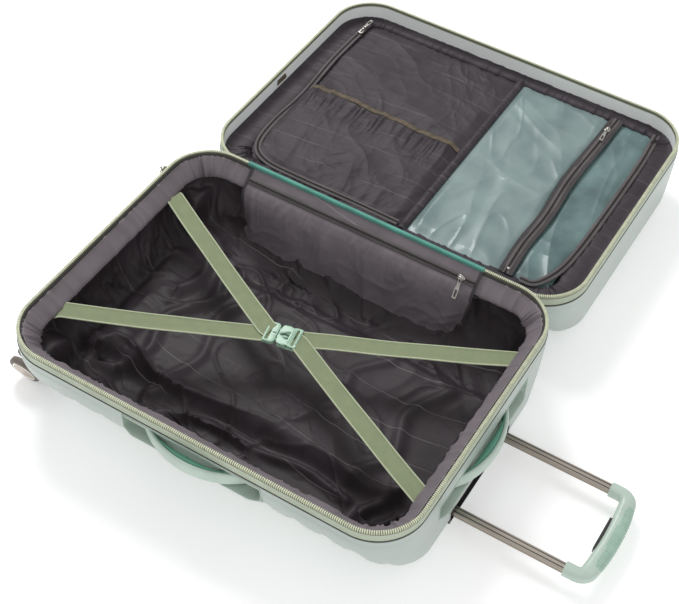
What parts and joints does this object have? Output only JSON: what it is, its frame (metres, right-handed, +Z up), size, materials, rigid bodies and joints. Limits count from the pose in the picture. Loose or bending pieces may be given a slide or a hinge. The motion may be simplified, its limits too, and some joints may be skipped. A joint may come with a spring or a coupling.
{
  "type": "hard shell suitcase on wheels",
  "caption": "Hard shell suitcase lying open, with telescopic trolley handle, swivel casters, carry handles, zipped linings and cross straps.",
  "frame": {"origin": "middle of the whole object's bottom, on the floor on which it lies open", "axes": "+X from the wheel end to the trolley grip, +Y from the base half to the lid half, +Z up"},
  "size_m": [0.968, 1.086, 0.1668],
  "materials": {
    "shell": "satin moulded polycarbonate, pale mint grey",
    "zipper_tape": "woven cream olive tape with moulded teeth",
    "lining": "wrinkled polyester lining, charcoal purple",
    "zip_band": "charcoal brown zip band",
    "webbing": "woven sage green webbing",
    "buckle": "moulded mint plastic",
    "zip_metal": "plated zinc",
    "tube": "polished champagne aluminium",
    "inner_metal": "drawn aluminium",
    "dark_plastic": "black nylon",
    "grip": "mint moulded plastic with a ribbed edge",
    "tray": "teal green moulded plastic",
    "tyre": "taupe polyurethane",
    "hub": "champagne cap with a bright edge",
    "web": "teal woven hinge cloth",
    "clear_film": "translucent grey teal film",
    "elastic": "tan brown elastic"
  },
  "bodies": {
    "base": {"base_shell": "shell", "base_zipper": "zipper_tape", "base_lining": "lining", "base_trim_band": "lining", "pocket_flap": "lining", "pocket_zip": "zip_band", "wheel_end_straps": "webbing", "handle_end_straps": "webbing", "buckle_socket": "buckle", "outer_tubes": "inner_metal", "tube_foot": "dark_plastic", "trolley_housing": "dark_plastic", "end_handle_tray": "tray", "side_handle_tray": "tray", "base_caster_housings": "dark_plastic", "hinge_web": "web"},
    "lid": {"lid_shell": "shell", "lid_zipper": "zipper_tape", "lid_lining": "lining", "divider_panel": "lining", "divider_zip": "zip_band", "elastic_band": "elastic", "gathered_band": "zip_band", "clear_panel": "clear_film", "clear_panel_zip": "zip_band", "lower_clear_panel": "clear_film", "lower_zip": "zip_band", "lid_caster_housings": "dark_plastic"},
    "middle_stage": {"middle_tubes": "inner_metal"},
    "grip_stage": {"inner_tubes": "tube", "trolley_grip": "grip"},
    "release": {"grip_trigger": "dark_plastic", "release_rods": "inner_metal"},
    "end_handle": {"end_handle_bar": "shell"},
    "side_handle": {"side_handle_bar": "shell"},
    "pocket_slider": {"pocket_slider": "zip_metal"},
    "pocket_puller": {"pocket_puller": "zip_metal"},
    "main_slider": {"main_slider": "zip_metal"},
    "main_puller": {"main_puller": "zip_metal"},
    "divider_slider": {"divider_slider": "zip_metal"},
    "clear_slider": {"clear_panel_slider": "zip_metal"},
    "buckle_plug": {"buckle_plug": "buckle"},
    "caster_1": {"fork_1": "dark_plastic"},
    "wheel_1": {"tyres_1": "tyre", "hubs_1": "hub"},
    "caster_2": {"fork_2": "dark_plastic"},
    "wheel_2": {"tyres_2": "tyre", "hubs_2": "hub"},
    "caster_3": {"fork_3": "dark_plastic"},
    "wheel_3": {"tyres_3": "tyre", "hubs_3": "hub"},
    "caster_4": {"fork_4": "dark_plastic"},
    "wheel_4": {"tyres_4": "tyre", "hubs_4": "hub"}
  },
  "joints": [
    {"name": "lid_hinge", "type": "hinge", "parent": "base", "child": "lid", "pos_m": [-0.102, 0.016, 0.153], "axis": [1, 0, 0], "range_deg": [0, 180]},
    {"name": "middle_stage_slide", "type": "slide", "parent": "base", "child": "middle_stage", "axis": [1, 0, 0], "range_m": [0, 0.23]},
    {"name": "grip_stage_slide", "type": "slide", "parent": "middle_stage", "child": "grip_stage", "axis": [1, 0, 0], "range_m": [-0.215, 0.02]},
    {"name": "trigger_squeeze", "type": "slide", "parent": "grip_stage", "child": "release", "axis": [1, 0, 0], "range_m": [0, 0.004], "stiffness_N_per_m": 1500},
    {"name": "end_handle_pull", "type": "slide", "parent": "base", "child": "end_handle", "axis": [1, 0, 0], "range_m": [0, 0.007], "stiffness_N_per_m": 600},
    {"name": "side_handle_pull", "type": "slide", "parent": "base", "child": "side_handle", "axis": [0, -1, 0], "range_m": [0, 0.007], "stiffness_N_per_m": 600},
    {"name": "caster_1_swivel", "type": "hinge", "parent": "base", "child": "caster_1", "pos_m": [-0.456, -0.457, 0.048], "axis": [1, 0, 0], "continuous": true},
    {"name": "wheel_1_spin", "type": "hinge", "parent": "caster_1", "child": "wheel_1", "pos_m": [-0.456, -0.45363, 0.03338], "axis": [0, 0.9744, 0.225], "continuous": true},
    {"name": "caster_2_swivel", "type": "hinge", "parent": "base", "child": "caster_2", "pos_m": [-0.456, -0.043, 0.048], "axis": [1, 0, 0], "continuous": true},
    {"name": "wheel_2_spin", "type": "hinge", "parent": "caster_2", "child": "wheel_2", "pos_m": [-0.456, -0.04509, 0.03315], "axis": [0, 0.9903, -0.1392], "continuous": true},
    {"name": "caster_3_swivel", "type": "hinge", "parent": "lid", "child": "caster_3", "pos_m": [-0.456, 0.075, 0.048], "axis": [1, 0, 0], "continuous": true},
    {"name": "wheel_3_spin", "type": "hinge", "parent": "caster_3", "child": "wheel_3", "pos_m": [-0.456, 0.07735, 0.03318], "axis": [0, 0.9877, 0.1564], "continuous": true},
    {"name": "caster_4_swivel", "type": "hinge", "parent": "lid", "child": "caster_4", "pos_m": [-0.456, 0.489, 0.048], "axis": [1, 0, 0], "continuous": true},
    {"name": "wheel_4_spin", "type": "hinge", "parent": "caster_4", "child": "wheel_4", "pos_m": [-0.456, 0.48537, 0.03345], "axis": [0, 0.9703, -0.2419], "continuous": true},
    {"name": "pocket_zip_slide", "type": "slide", "parent": "base", "child": "pocket_slider", "axis": [-1, 0, 0], "range_m": [0, 0.38]},
    {"name": "pocket_puller_swing", "type": "hinge", "parent": "pocket_slider", "child": "pocket_puller", "pos_m": [0.0785, -0.01874, 0.1322], "axis": [0, -0.9511, 0.309], "range_deg": [-40, 40]},
    {"name": "main_zip_slide", "type": "slide", "parent": "base", "child": "main_slider", "axis": [0, -1, 0], "range_m": [0, 0.3]},
    {"name": "main_puller_swing", "type": "hinge", "parent": "main_slider", "child": "main_puller", "pos_m": [-0.463, -0.08, 0.1588], "axis": [1, 0, 0], "range_deg": [-60, 60]},
    {"name": "divider_zip_slide", "type": "slide", "parent": "lid", "child": "divider_slider", "axis": [0, -1, 0], "range_m": [0, 0.25]},
    {"name": "clear_zip_slide", "type": "slide", "parent": "lid", "child": "clear_slider", "axis": [0, -1, 0], "range_m": [0, 0.37]},
    {"name": "buckle_release", "type": "slide", "parent": "base", "child": "buckle_plug", "axis": [-0.9816, -0.1908, 0], "range_m": [0, 0.02], "deforming": ["wheel_end_straps"]}
  ]
}
